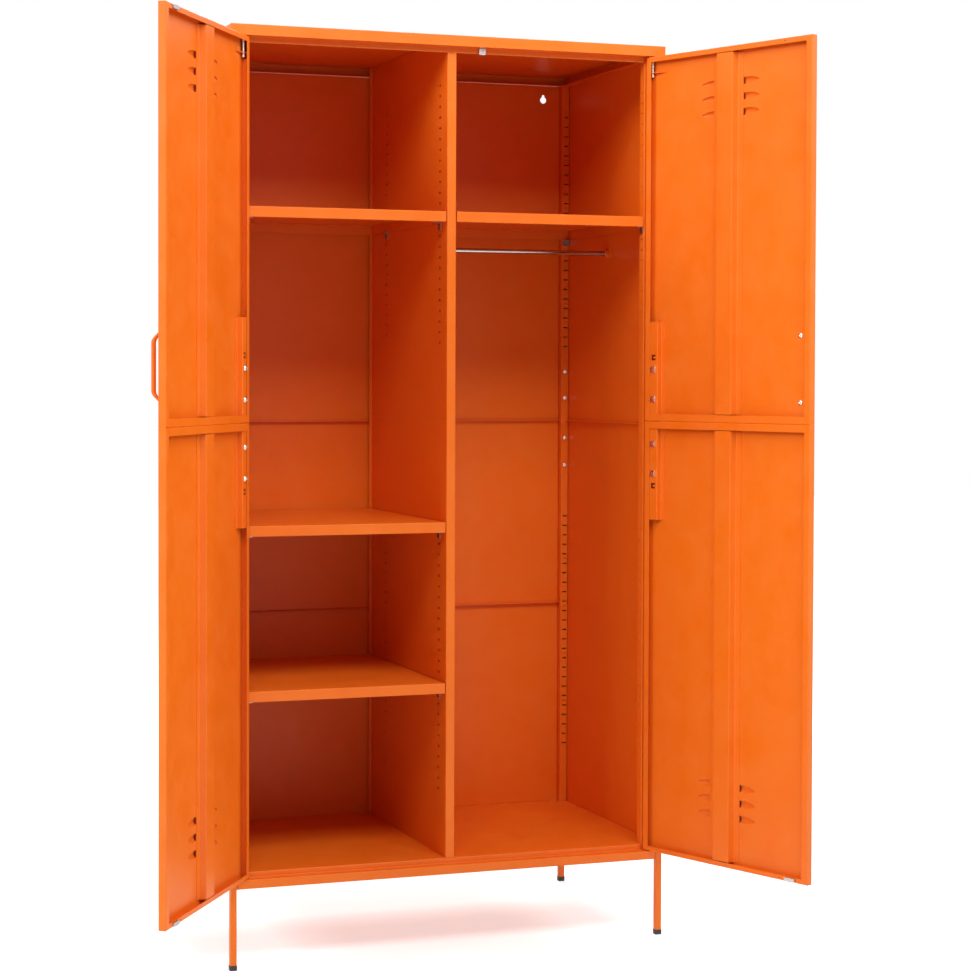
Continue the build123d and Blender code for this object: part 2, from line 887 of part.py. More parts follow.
def door_tray(side, low, high, low_lip, high_lip):
    """Half of a door: a pressed tray, all four edges folded back and in again."""
    middle = across(side, door_width / 2)
    inwards = Axis(doors[side].origin, doors[side].y_dir)
    with BuildPart() as tray:
        with BuildSketch(skin(side, 0)):
            with Locations((middle, (low + high) / 2)):
                Rectangle(door_width, high - low)
        extrude(amount=-door_depth)
        by_depth = tray.faces().sort_by(inwards)
        fillet(by_depth[0].edges() + by_depth[-1].edges(), radius=bend)
        with BuildSketch(skin(side, sheet)):
            with Locations((middle, (low + high) / 2)):
                Rectangle(door_width - 2 * sheet, high - low - 2 * sheet)
        extrude(amount=-(door_depth - 2 * sheet), mode=Mode.SUBTRACT)
        with BuildSketch(skin(side, door_depth - 2 * sheet)):
            with Locations((middle, (low + low_lip + high - high_lip) / 2)):
                Rectangle(door_width - 2 * side_lip, high - high_lip - low - low_lip)
        extrude(amount=-3 * sheet, mode=Mode.SUBTRACT)
        # The joint strap passes through a notch in the seam walls
        with BuildSketch(level(doors[side], door_seam - 2 * sheet)):
            notch_end = strap_edge + strap_foot + 1
            with Locations((across(side, (sheet + notch_end) / 2), strap_w / 2 + sheet - pivot_w)):
                Rectangle(notch_end - sheet, strap_w)
        extrude(amount=4 * sheet, mode=Mode.SUBTRACT)
    return tray.part


def joint_seat(side):
    """Plan of the raised seat, welded on the skin, that the joint strap is bolted to."""
    start = strap_bolt_u - seat_width / 2
    end = strap_bolt_u + seat_width / 2
    foot = 2 * sheet
    seat = strap_w - sheet
    return door_fold(
        side,
        [(start - 4, foot), (start, foot), (start, seat), (end, seat), (end, foot), (end + 4, foot)],
    )


def louvre_places(side, first, step):
    """Places of the louvres of one door half, on its outer face, mouths towards the middle."""
    places = []
    for u in louvre_columns:
        faces_up = (u < stiffener_u) == (side == LEFT)
        turn = Location((0, 0, 0), (0, 0 if faces_up else 180, 0))
        for n in range(louvre_count):
            middle = Location((across(side, u), -pivot_w, first + step * n))
            places.append(doors[side].location * middle * turn)
    return places


for side, side_name in side_names.items():
    seat_plan = joint_seat(side)
    bolt_x = across(side, strap_bolt_u)

    upper_tray = door_tray(side, door_seam, door_top, seam_lip, top_lip)
    with BuildPart() as door_upper:
        add(upper_tray)
        with BuildSketch(level(doors[side], door_seam + seam_lip + 3)):
            add(seat_plan)
        extrude(amount=strap_high - door_seam - seam_lip - 6)
        with Locations(*louvre_places(side, louvre_top, -louvre_pitch)):
            add(louvre_hood)
            add(louvre_hollow, mode=Mode.SUBTRACT)
        with BuildSketch(skin(side, strap_w)):
            with Locations(*[(bolt_x, z) for z in strap_bolts if z > door_seam]):
                Circle(bolt_radius + running_fit)
        extrude(amount=3 * sheet, mode=Mode.SUBTRACT)
        with BuildSketch(skin(side, 2 * sheet)):
            with Locations((across(side, handle_u), handle_z)):
                with GridLocations(0, handle_span, 1, 2):
                    Circle(handle_screw + running_fit)
        extrude(amount=3 * sheet, mode=Mode.SUBTRACT)
        with BuildSketch(skin(side, door_depth + sheet)):
            with Locations((across(side, lip_hole_u), door_top - top_lip / 2)):
                Circle(lip_hole)
        extrude(amount=3 * sheet, mode=Mode.SUBTRACT)
        with BuildSketch(level(doors[side], door_top - 2 * sheet)):
            Circle(pin_radius + running_fit)
        extrude(amount=3 * sheet, mode=Mode.SUBTRACT)
    save(door_upper, f"{side_name}_door_upper")

    lower_tray = door_tray(side, door_bottom, door_seam, bottom_lip, seam_lip)
    with BuildPart() as door_lower:
        add(lower_tray)
        with BuildSketch(level(doors[side], strap_low + 3)):
            add(seat_plan)
        extrude(amount=door_seam - seam_lip - strap_low - 6)
        with Locations(*louvre_places(side, louvre_bottom, louvre_pitch)):
            add(louvre_hood)
            add(louvre_hollow, mode=Mode.SUBTRACT)
        with BuildSketch(skin(side, strap_w)):
            with Locations(*[(bolt_x, z) for z in strap_bolts if z < door_seam]):
                Circle(bolt_radius + running_fit)
        extrude(amount=3 * sheet, mode=Mode.SUBTRACT)
        with BuildSketch(skin(side, door_depth + sheet)):
            with Locations((across(side, lip_hole_u), door_bottom + bottom_lip / 2)):
                Circle(lip_hole)
        extrude(amount=3 * sheet, mode=Mode.SUBTRACT)
        with BuildSketch(level(doors[side], door_bottom - sheet)):
            Circle(pin_radius + running_fit)
        extrude(amount=3 * sheet, mode=Mode.SUBTRACT)
    save(door_lower, f"{side_name}_door_lower")

    # Hat-section stiffeners up the middle of each half
    half_flat = stiffener_flat / 2
    foot_line = 2 * sheet
    slope_end = half_flat + stiffener_slope
    hat = door_fold(
        side,
        [
            (stiffener_u - slope_end - stiffener_foot, foot_line),
            (stiffener_u - slope_end, foot_line),
            (stiffener_u - half_flat, stiffener_w),
            (stiffener_u + half_flat, stiffener_w),
            (stiffener_u + slope_end, foot_line),
            (stiffener_u + slope_end + stiffener_foot, foot_line),
        ],
    )
    for half, low, high in (
        ("lower", door_bottom + bottom_lip + 1, door_seam - seam_lip - 1),
        ("upper", door_seam + seam_lip + 1, door_top - top_lip - 1),
    ):
        with BuildPart() as stiffener:
            with BuildSketch(level(doors[side], low)):
                add(hat)
            extrude(amount=high - low)
        save(stiffener, f"{side_name}_stiffener_{half}")

    # Joint strap on the hinge side, across the seam between the halves
    strap_plan = door_fold(
        side,
        [
            (sheet + clear, strap_w),
            (strap_edge, strap_w),
            (strap_edge, 2 * sheet),
            (strap_edge + strap_foot, 2 * sheet),
        ],
    )
    with BuildPart() as strap:
        with BuildSketch(level(doors[side], strap_low)):
            add(strap_plan)
        extrude(amount=strap_high - strap_low)
        with BuildSketch(skin(side, strap_w + sheet)):
            with Locations(*[(bolt_x, z) for z in strap_bolts]):
                Circle(bolt_radius + running_fit)
            with Locations(*[(bolt_x, z) for z in strap_tabs]):
                Rectangle(tab_hole, tab_hole)
        extrude(amount=3 * sheet, mode=Mode.SUBTRACT)
    save(strap, f"{side_name}_joint_channel")

    strap_bolt = button_bolt(strap_head, bolt_head_height, bolt_radius, strap_w - 3 * sheet)
    with BuildPart() as bolts:
        places = [(bolt_x, strap_w - pivot_w, z) for z in strap_bolts]
        with Locations(*[facing(doors[side], place, (0, 1, 0)) for place in places]):
            add(strap_bolt)
    save(bolts, f"{side_name}_joint_bolts")

    # Bow handle outside, with a tapped hole in each foot
    handle_x = across(side, handle_u)
    handle_low = handle_z - handle_span / 2
    handle_high = handle_z + handle_span / 2
    handle_out = -pivot_w - handle_reach + handle_radius
    with BuildPart() as handle:
        with BuildLine(section(doors[side], handle_x)) as bow:
            FilletPolyline(
                (-pivot_w, handle_low),
                (handle_out, handle_low),
                (handle_out, handle_high),
                (-pivot_w, handle_high),
                radius=handle_bend,
            )
        with BuildSketch(Plane(origin=bow.line @ 0, z_dir=bow.line % 0)):
            Circle(handle_radius)
        sweep()
        with BuildSketch(skin(side, 0)):
            with Locations((handle_x, handle_low), (handle_x, handle_high)):
                Circle(handle_screw + running_fit)
        extrude(amount=9, mode=Mode.SUBTRACT)
    save(handle, f"{side_name}_handle")

    screw = button_bolt(2 * handle_screw, handle_screw, handle_screw, sheet + 8)
    with BuildPart() as handle_screws:
        places = [(handle_x, sheet - pivot_w, z) for z in (handle_low, handle_high)]
        with Locations(*[facing(doors[side], place, (0, 1, 0)) for place in places]):
            add(screw)
    save(handle_screws, f"{side_name}_handle_screws")

    # Catch magnets on the lips: the right door's top one is on the cabinet instead
    magnet_x = across(side, magnet_u)
    magnet_heights = [door_bottom + bottom_lip / 2]
    if side == LEFT:
        magnet_heights.append(door_top - top_lip / 2)
    with BuildPart() as magnets:
        with BuildSketch(skin(side, door_depth)):
            with Locations(*[(magnet_x, z) for z in magnet_heights]):
                RectangleRounded(magnet_width, magnet_height, 1)
        extrude(amount=-magnet_thickness)
    save(magnets, f"{side_name}_door_magnets")

    # Bracket of the top pivot: a tapered guide tab for the pin, with a flange on the skin
    with BuildPart() as bracket:
        with BuildSketch(level(doors[side], guide_z)):
            with BuildLine():
                tab_outline = [
                    (sheet + clear, sheet),
                    (sheet + clear, guide_reach),
                    (pivot_u + pin_radius + 3, guide_reach),
                    (bracket_edge, 2 * sheet),
                    (bracket_edge, sheet),
                ]
                Polyline(*[(across(side, u), w - pivot_w) for u, w in tab_outline], close=True)
            make_face()
            Circle(pin_radius + running_fit, mode=Mode.SUBTRACT)
        extrude(amount=guide_thickness)
        with BuildSketch(level(doors[side], guide_z)):
            flange_middle = (bracket_start + bracket_edge) / 2
            with Locations((across(side, flange_middle), 1.5 * sheet - pivot_w)):
                Rectangle(bracket_edge - bracket_start, sheet)
        extrude(amount=bracket_rise)
    save(bracket, f"{side_name}_top_bracket")

    # Sprung top pin, with a knob under its guide to pull it down by
    with BuildPart() as top_pin:
        with BuildSketch(level(doors[side], knob_low)):
            Circle(pin_radius)
        extrude(amount=pin_tip - knob_low)
        chamfer(top_pin.faces().sort_by(Axis.Z)[-1].edges(), length=0.8)
        with BuildSketch(level(doors[side], collar_z)):
            Circle(collar_radius)
        extrude(amount=collar_height)
        with BuildSketch(level(doors[side], knob_low)):
            Circle(knob_radius)
        extrude(amount=knob_height)
        knob_rims = top_pin.edges().filter_by(GeomType.CIRCLE)
        fillet(knob_rims.filter_by(lambda rim: abs(rim.radius - knob_radius) < 0.01), radius=0.7)
    save(top_pin, f"{side_name}_top_pin")

    # The spring is drawn at its shortest, as it is with the pin pulled down
    spring_low = guide_z + guide_thickness + spring_wire + 0.1
    spring_length = collar_z - pin_travel - 2 * spring_wire - 0.2 - guide_z - guide_thickness
    with BuildPart() as spring:
        with BuildLine(level(doors[side], spring_low)) as coil:
            Helix(spring_length / spring_turns, spring_length, spring_radius)
        with BuildSketch(Plane(origin=coil.line @ 0, z_dir=coil.line % 0)):
            Circle(spring_wire)
        sweep(is_frenet=True)
    save(spring, f"{side_name}_pin_spring")

    # Fixed bottom pin, riveted in the lower edge of the door
    with BuildPart() as bottom_pin:
        with BuildSketch(level(doors[side], bottom_pin_low)):
            Circle(pin_radius)
        extrude(amount=door_bottom + sheet - bottom_pin_low)
        chamfer(bottom_pin.faces().sort_by(Axis.Z)[0].edges(), length=0.8)
        with BuildSketch(level(doors[side], door_bottom + sheet)):
            Circle(bottom_pin_head)
        extrude(amount=1.4)
    save(bottom_pin, f"{side_name}_bottom_pin")
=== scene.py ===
"""Looks of the school locker: finishes, small metal details, pale studio and camera."""

import json
from math import cos, pi, radians, sin

import bmesh
import bpy
import numpy as np
from mathutils import Matrix, Vector


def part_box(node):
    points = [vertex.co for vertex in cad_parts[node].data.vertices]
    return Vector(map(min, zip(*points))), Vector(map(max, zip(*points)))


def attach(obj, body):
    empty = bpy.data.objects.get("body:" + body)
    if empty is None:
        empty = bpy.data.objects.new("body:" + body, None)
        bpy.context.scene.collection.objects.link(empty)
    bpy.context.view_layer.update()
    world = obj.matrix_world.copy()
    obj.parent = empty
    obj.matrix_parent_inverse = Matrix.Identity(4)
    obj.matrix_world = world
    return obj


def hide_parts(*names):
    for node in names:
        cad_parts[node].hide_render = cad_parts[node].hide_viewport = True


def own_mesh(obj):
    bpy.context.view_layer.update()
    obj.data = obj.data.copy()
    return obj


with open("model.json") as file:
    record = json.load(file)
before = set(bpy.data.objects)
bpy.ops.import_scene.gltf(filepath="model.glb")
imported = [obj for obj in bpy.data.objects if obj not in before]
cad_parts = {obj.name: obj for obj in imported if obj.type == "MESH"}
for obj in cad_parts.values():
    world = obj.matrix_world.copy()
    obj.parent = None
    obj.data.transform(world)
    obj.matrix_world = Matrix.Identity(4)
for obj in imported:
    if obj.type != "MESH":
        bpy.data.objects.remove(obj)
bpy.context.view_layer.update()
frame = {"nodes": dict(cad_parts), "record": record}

# Where the cabinet stands: the middle of its front, on the floor
top_low, top_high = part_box("top_panel")
front = Vector(((top_low[0] + top_high[0]) / 2, top_low[1], 0))
SIDES = {"left": -1, "right": 1}


# ---------------------------------------------------------------- node helpers
class Nodes:
    """Builds one material's node tree, a node at a time."""

    def __init__(self, name):
        self.material = bpy.data.materials.new(name)
        self.material.use_nodes = True
        self.tree = self.material.node_tree
        self.tree.nodes.clear()
        self.output = self.tree.nodes.new("ShaderNodeOutputMaterial")
        self.place = self.add("ShaderNodeTexCoord").outputs["Object"]

    def add(self, kind, settings=None, **inputs):
        node = self.tree.nodes.new(kind)
        for key, value in (settings or {}).items():
            setattr(node, key, value)
        for key, value in inputs.items():
            self.set(node.inputs[key.replace("_", " ")], value)
        return node

    def set(self, socket, value):
        if isinstance(value, bpy.types.NodeSocket):
            self.tree.links.new(value, socket)
        else:
            socket.default_value = value

    def noise(self, scale, detail=2.0, roughness=0.5, place=None):
        node = self.add("ShaderNodeTexNoise", Scale=scale, Detail=detail, Roughness=roughness)
        self.set(node.inputs["Vector"], place or self.place)
        return node.outputs["Fac"]

    def stretched(self, x, y, z):
        node = self.add("ShaderNodeMapping", Scale=(x, y, z))
        self.set(node.inputs["Vector"], self.place)
        return node.outputs["Vector"]

    def ranged(self, value, from_low, from_high, to_low, to_high):
        node = self.add("ShaderNodeMapRange")
        for index, entry in enumerate((value, from_low, from_high, to_low, to_high)):
            self.set(node.inputs[index], entry)
        return node.outputs["Result"]

    def math(self, operation, a, b):
        node = self.add("ShaderNodeMath", {"operation": operation})
        self.set(node.inputs[0], a)
        self.set(node.inputs[1], b)
        return node.outputs["Value"]

    def mix(self, amount, a, b, blend="MIX"):
        node = self.add("ShaderNodeMix", {"data_type": "RGBA", "blend_type": blend})
        # Sockets 6 and 7 are the two colours, and output 2 is the mixed one
        self.set(node.inputs["Factor"], amount)
        self.set(node.inputs[6], a)
        self.set(node.inputs[7], b)
        return node.outputs[2]

    def edges(self, radius):
        """How sharply the surface turns here, 0 to 1, and the normal rounded over its edges."""
        bevel = self.add("ShaderNodeBevel", {"samples": 6}, Radius=radius)
        true_normal = self.add("ShaderNodeNewGeometry").outputs["Normal"]
        node = self.add("ShaderNodeVectorMath", {"operation": "DOT_PRODUCT"})
        self.set(node.inputs[0], bevel.outputs["Normal"])
        self.set(node.inputs[1], true_normal)
        sharpness = self.ranged(node.outputs["Value"], 0.985, 0.86, 0.0, 1.0)
        return sharpness, bevel.outputs["Normal"]

    def bump(self, height, distance, strength, normal):
        node = self.add("ShaderNodeBump", Strength=strength, Distance=distance)
        self.set(node.inputs["Height"], height)
        self.set(node.inputs["Normal"], normal)
        return node.outputs["Normal"]

    def surface(self, **inputs):
        shader = self.add("ShaderNodeBsdfPrincipled")
        for key, value in inputs.items():
            self.set(shader.inputs[key.replace("_", " ")], value)
        self.tree.links.new(shader.outputs["BSDF"], self.output.inputs["Surface"])
        return self.material


def linear(red, green, blue):
    """A display colour, 0 to 255, as a linear colour."""
    channels = []
    for value in (red, green, blue):
        value /= 255
        channels.append(value / 12.92 if value <= 0.04045 else ((value + 0.055) / 1.055) ** 2.4)
    return (*channels, 1.0)


# ---------------------------------------------------------------- finishes
def powder_coat(name, base, deep, pale):
    """Satin powder coat: orange peel, slow colour drift, paler edges of wear and painted
    highlight, painted shade in corners.
    """
    n = Nodes(name)
    drift = n.ranged(n.noise(2.2, 3.0), 0.35, 0.65, 0.0, 1.0)
    cloud = n.ranged(n.noise(19.0, 4.0, 0.6), 0.3, 0.7, 0.0, 1.0)
    colour = n.mix(n.math("MULTIPLY", drift, 0.5), base, deep)
    colour = n.mix(n.math("MULTIPLY", cloud, 0.12), colour, pale)
    specks = n.ranged(n.noise(1400.0, 1.0), 0.66, 0.76, 0.0, 0.25)
    colour = n.mix(specks, colour, pale)
    edge, rounded = n.edges(0.0011)
    # Paler thin edges: partly wear of the coat, partly painted highlight along the bends.
    worn = n.math("MULTIPLY", edge, n.ranged(n.noise(60.0, 4.0, 0.7), 0.35, 0.7, 0.1, 0.5))
    colour = n.mix(worn, colour, pale)
    # Painted shade: the colour darkens towards the deep orange where ambient occlusion finds a
    # corner or crease.
    corner = n.add("ShaderNodeAmbientOcclusion", {"samples": 4}, Distance=0.012)
    colour = n.mix(n.ranged(corner.outputs["AO"], 0.2, 0.75, 0.35, 0.0), colour, deep, "MULTIPLY")
    peel = n.noise(620.0, 2.0, 0.45)
    ripple = n.noise(9.0, 2.0)
    normal = n.bump(ripple, 0.0006, 0.35, rounded)
    normal = n.bump(peel, 0.00007, 0.55, normal)
    rough = n.ranged(cloud, 0.0, 1.0, 0.36, 0.46)
    rough = n.math("SUBTRACT", rough, n.math("MULTIPLY", edge, 0.06))
    return n.surface(Base_Color=colour, Roughness=rough, Normal=normal, IOR=1.5,
                     Specular_IOR_Level=0.3, Coat_Weight=0.04, Coat_Roughness=0.25)


def plated(name, tint, dull, low, high, brush):
    """Zinc or nickel plate: fine brushing, cloudy passivation and bright rubbed edges."""
    n = Nodes(name)
    cloud = n.ranged(n.noise(140.0, 4.0, 0.65), 0.3, 0.7, 0.0, 1.0)
    lines = n.noise(1.0, 3.0, 0.6, n.stretched(*brush))
    colour = n.mix(n.math("MULTIPLY", cloud, 0.6), tint, dull)
    edge, rounded = n.edges(0.0005)
    colour = n.mix(n.math("MULTIPLY", edge, 0.6), colour, linear(245, 245, 243))
    streaks = n.math("ADD", n.math("MULTIPLY", lines, 0.5), n.math("MULTIPLY", cloud, 0.5))
    rough = n.ranged(streaks, 0.25, 0.75, low, high)
    normal = n.bump(lines, 0.00003, 0.6, rounded)
    normal = n.bump(n.noise(900.0, 2.0), 0.00002, 0.4, normal)
    return n.surface(Base_Color=colour, Metallic=1.0, Roughness=rough, Normal=normal)


def moulded(name, base, worn):
    """Moulded plastic: fine grain, scuffed edges and a trace of floor dust low down."""
    n = Nodes(name)
    grain = n.noise(1500.0, 2.0)
    edge, rounded = n.edges(0.0012)
    scuff = n.math("MULTIPLY", edge, n.ranged(n.noise(220.0, 3.0), 0.4, 0.65, 0.1, 0.8))
    colour = n.mix(n.ranged(n.noise(45.0, 3.0), 0.3, 0.7, 0.0, 0.35), base, worn)
    colour = n.mix(scuff, colour, worn)
    height = n.add("ShaderNodeSeparateXYZ")
    n.set(height.inputs[0], n.place)
    dust = n.ranged(height.outputs["Z"], 0.006, 0.0, 0.0, 0.5)
    colour = n.mix(n.math("MULTIPLY", dust, n.noise(90.0, 3.0)), colour, worn)
    normal = n.bump(grain, 0.00008, 0.5, rounded)
    rough = n.ranged(n.noise(60.0, 3.0), 0.3, 0.7, 0.5, 0.68)
    return n.surface(Base_Color=colour, Roughness=rough, Normal=normal)


ORANGE = linear(238, 116, 18)
DEEP = linear(229, 101, 12)
PALE = linear(249, 158, 84)
# Dark orange for plates that stand only where there is shadow: painted shade.
PAINTED_SHADE = linear(112, 26, 5)
EVEN_BRUSH = (900.0, 900.0, 900.0)
UPRIGHT_BRUSH = (500.0, 500.0, 60.0)
RAIL_BRUSH = (12.0, 900.0, 900.0)
finishes = {
    "orange_coat": powder_coat("orange_powder_coat", ORANGE, DEEP, PALE),
    # Painted shade: a dark copy of the coat for plates in louvre mouths, strap windows and behind
    # the top pins.
    "painted_shade_coat": powder_coat("painted_shade_powder_coat", PAINTED_SHADE, linear(84, 16, 3), linear(128, 36, 8)),
    "zinc_steel": plated("zinc_plated_steel", linear(236, 235, 232), linear(206, 206, 204),
                         0.22, 0.4, EVEN_BRUSH),
    # Duller zinc than the screws; its tint is also set darker as painted shade for the clips in
    # the shaded bays.
    "zinc_plate": plated("zinc_sheet_painted_shade", linear(168, 165, 162), linear(138, 136, 134),
                         0.24, 0.42, UPRIGHT_BRUSH),
    "rail_steel": plated("rail_tube", linear(184, 178, 174), linear(152, 148, 146),
                         0.08, 0.17, RAIL_BRUSH),
    "magnet": plated("nickel_plate", linear(205, 203, 200), linear(160, 160, 160),
                     0.2, 0.38, EVEN_BRUSH),
    "black_cap": moulded("black_cap_plastic", linear(26, 26, 27), linear(78, 77, 75)),
    "bush": moulded("black_bush_plastic", linear(32, 32, 33), linear(84, 83, 82)),
}
record = frame["record"]
slot_of = {entry["node"]: entry["material_slot"] for entry in record["subparts"]}
body_of = {node: body for body, nodes in record["behaviour"]["bodies"].items() for node in nodes}
# These plates are coated with the cabinet, though they are made of the zinc sheet
COATED = ("front_joint_plates", "rear_joint_channels")
for node, item in frame["nodes"].items():
    for material_slot in item.material_slots:
        material_slot.material = finishes["orange_coat" if node in COATED else slot_of[node]]


# ---------------------------------------------------------------- mesh helpers
def merged_copy(node):
    """A CAD node's surface as a mesh with shared points."""
    mesh = bmesh.new()
    mesh.from_mesh(frame["nodes"][node].data)
    bmesh.ops.remove_doubles(mesh, verts=mesh.verts, dist=1e-6)
    return mesh


def plain_object(name, mesh):
    """A finished mesh as an object with no material and no body."""
    data = bpy.data.meshes.new(name)
    mesh.to_mesh(data)
    mesh.free()
    item = bpy.data.objects.new(name, data)
    bpy.context.collection.objects.link(item)
    return item


def new_piece(name, mesh, material, body, smooth=40, finish=None):
    """A finished mesh as a piece that rides on a body; edges over `smooth` degrees stay sharp."""
    bmesh.ops.recalc_face_normals(mesh, faces=mesh.faces)
    piece = plain_object(name, mesh)
    piece.data.materials.append(finishes[finish or material])
    piece.data.shade_smooth()
    piece.data.set_sharp_from_angle(angle=radians(smooth))
    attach(piece, body)
    return piece


def join_rings(mesh, lower, upper):
    """Quads between two closed rings of as many points."""
    count = len(lower)
    for k in range(count):
        following = (k + 1) % count
        mesh.faces.new((lower[k], lower[following], upper[following], upper[k]))


# ---------------------------------------------------------------- fasteners
def islands(node):
    """The points of each separate solid in a CAD node."""
    mesh = merged_copy(node)
    waiting = set(mesh.verts)
    groups = []
    for start in mesh.verts:
        if start not in waiting:
            continue
        waiting.remove(start)
        stack, group = [start], []
        while stack:
            point = stack.pop()
            group.append(point.co[:])
            for edge in point.link_edges:
                other = edge.other_vert(point)
                if other in waiting:
                    waiting.remove(other)
                    stack.append(other)
        groups.append(np.array(group))
    mesh.free()
    return groups


def screw_measures(points):
    """Seat point, axis towards the head, head radius and height, shank radius and length.

    On the doors, which stand open, this goes wrong. The middle of a screw's box lies off its axis
    there, so the heads come out 8 to 16 per cent too wide. The choice of the axis isn't safe for
    the strap bolts either, and those of the right door come out turned by a right angle.
    """
    low, high = points.min(axis=0), points.max(axis=0)
    middle = (low + high) / 2
    best = None
    spread = np.linalg.eigh(np.cov((points - points.mean(axis=0)).T))[1]
    for column in range(3):
        axis = spread[:, column]
        along = (points - middle) @ axis
        across = np.linalg.norm(points - middle - np.outer(along, axis), axis=1)
        outer = across.max()
        # The axis whose outermost points keep the most even distance from it is taken
        rim = points[across > 0.97 * outer] - middle
        score = np.linalg.norm(rim - np.outer(rim @ axis, axis), axis=1).std() / outer
        if best is None or score < best[0]:
            best = (score, axis, along, across)
    _, axis, along, across = best
    outer = across.max()
    if along[across > 0.9 * outer].mean() < 0:
        axis, along = -axis, -along
    seat = along[across > 0.97 * outer].min()
    top = along.max()
    shank = across[along < seat - 1e-4].max()
    return Vector(middle + axis * seat), Vector(axis), outer, top - seat, shank, seat - along.min()


SCREW_SIDES = 24
DOME_STEPS = 6
# How much of a quarter circle the dome sweeps
CROWN = 0.62
# The strap bolts have higher domes than their CAD heads
STRAP_BOLT_RISE = 1.6


def add_screw(mesh, points, rise):
    """One domed screw with a hex socket, as measured from the points of the CAD one."""
    seat, axis, head, height, shank, length = screw_measures(points)
    height *= rise
    turn = axis.to_track_quat("Z", "Y").to_matrix()
    socket, depth = head * 0.42, height * 0.62
    # Radius and level of each ring, from the shank's tip up, and whether it is hexagonal
    rings = [(0, -length, 0), (shank * 0.86, -length, 0), (shank, -length * 0.93, 0),
             (shank, 0, 0), (head * 0.97, 0, 0), (head, height * 0.1, 0), (head, height * 0.3, 0)]
    for step in range(1, DOME_STEPS + 1):
        lean = radians(90 * CROWN) * step / DOME_STEPS
        inward = (1 - cos(lean)) / (1 - cos(radians(90 * CROWN)))
        upward = sin(lean) / sin(radians(90 * CROWN))
        rings.append((head - (head - socket * 1.12) * inward, height * (0.3 + 0.7 * upward), 0))
    rings += [(socket, height * 0.97, 1), (socket * 0.97, height - depth, 1),
              (0, height - depth * 1.12, 1)]
    rows = []
    for radius, level, hexagonal in rings:
        row = []
        for k in range(1 if radius == 0 else SCREW_SIDES):
            angle = 2 * pi * k / SCREW_SIDES
            reach = radius
            if hexagonal:
                reach *= cos(pi / 6) / cos((angle % (pi / 3)) - pi / 6)
            point = turn @ Vector((reach * cos(angle), reach * sin(angle), level)) + seat
            row.append(mesh.verts.new(point))
        rows.append(row)
    for lower, upper in zip(rows, rows[1:]):
        for here in range(SCREW_SIDES):
            there = (here + 1) % SCREW_SIDES
            if len(lower) == 1:
                mesh.faces.new((lower[0], upper[there], upper[here]))
            elif len(upper) == 1:
                mesh.faces.new((lower[here], lower[there], upper[0]))
            else:
                mesh.faces.new((lower[here], lower[there], upper[there], upper[here]))


def detailed_screws(node, rise=1.0):
    """Screws with sockets and domes in place of a CAD node's plain ones."""
    mesh = bmesh.new()
    for points in islands(node):
        add_screw(mesh, points, rise)
    piece = new_piece(f"{node}_detailed", mesh, slot_of[node], body_of[node])
    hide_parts(node)


for node in ("frame_joint_bolts", "leg_screws"):
    detailed_screws(node)
for node in ("left_joint_bolts", "right_joint_bolts"):
    detailed_screws(node, STRAP_BOLT_RISE)
for node in ("left_handle_screws", "right_handle_screws"):
    detailed_screws(node)


# ---------------------------------------------------------------- springs of the top pins
WIRE = 0.00038
WIRE_SIDES = 8
TURNS = 7
STEPS_PER_TURN = 28
# How far the pin slides, which the coil gives
PIN_TRAVEL = 0.006


def coil_spring(side):
    """Steel coil between the guide tab and the pin's collar."""
    low, high = (Vector(corner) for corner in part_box(f"{side}_pin_spring"))
    middle = (low + high) / 2
    radius = (high.x - low.x) / 2 - WIRE
    bottom = low.z + WIRE
    top = bottom + (high.z - low.z) - 2 * WIRE + PIN_TRAVEL
    mesh = bmesh.new()
    rows = []
    total = TURNS * STEPS_PER_TURN
    for k in range(total + 1):
        share = k / total
        angle = 2 * pi * TURNS * share
        # The end turns lie flat, the others share the height
        eased = min(max((share - 0.1) / 0.8, 0), 1)
        height = bottom + (top - bottom) * eased
        out = Vector((cos(angle), sin(angle), 0))
        centre = Vector((middle.x, middle.y, height)) + out * radius
        row = []
        for j in range(WIRE_SIDES):
            lean = 2 * pi * j / WIRE_SIDES
            offset = out * WIRE * cos(lean)
            row.append(mesh.verts.new(centre + offset + Vector((0, 0, WIRE * sin(lean)))))
        rows.append(row)
    for lower, upper in zip(rows, rows[1:]):
        join_rings(mesh, lower, upper)
    mesh.faces.new(rows[0])
    mesh.faces.new(rows[-1])
    piece = new_piece(f"{side}_spring_coil", mesh, "zinc_steel", f"{side}_door", 60)
    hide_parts(f"{side}_pin_spring")
    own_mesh(piece)


for side in SIDES:
    coil_spring(side)


# ---------------------------------------------------------------- places on a door
# Hinge axis from the middle of the front, and how far it lies in from the door's hinge edge
PIVOT = Vector((0.4007, 0.005, 0))
PIVOT_U = 0.0089
OPENING = {"left": 123.8, "right": 111.3}


def on_door(side, u, w, z):
    """A point across (u), inwards (w) and up (z) on a door, where the door stands open."""
    way = SIDES[side]
    hinge = Vector((way * PIVOT.x, PIVOT.y, 0))
    arm = Vector((-way * (u - PIVOT_U), w - PIVOT.y, 0))
    turned = Matrix.Rotation(way * radians(OPENING[side]), 3, "Z") @ arm
    return front + hinge + turned + Vector((0, 0, z))


def add_plate(mesh, side, outline, thickness, along):
    """A flat plate on a door, from its outline, thickened along one of the door's directions."""
    rows = []
    for level in (0, thickness):
        shift = [level if direction == along else 0 for direction in "uwz"]
        points = [tuple(a + b for a, b in zip(point, shift)) for point in outline]
        rows.append([mesh.verts.new(on_door(side, *point)) for point in points])
    mesh.faces.new(rows[0])
    mesh.faces.new(rows[1])
    join_rings(mesh, *rows)


# ---------------------------------------------------------------- painted shade plates at the top pins
PIN_SHADE_U = 0.00085
PIN_SHADE_W = 0.0072
PIN_SHADE_HALF = 0.0053
PIN_SHADE_LOW, PIN_SHADE_HIGH = 1.6434, 1.6672


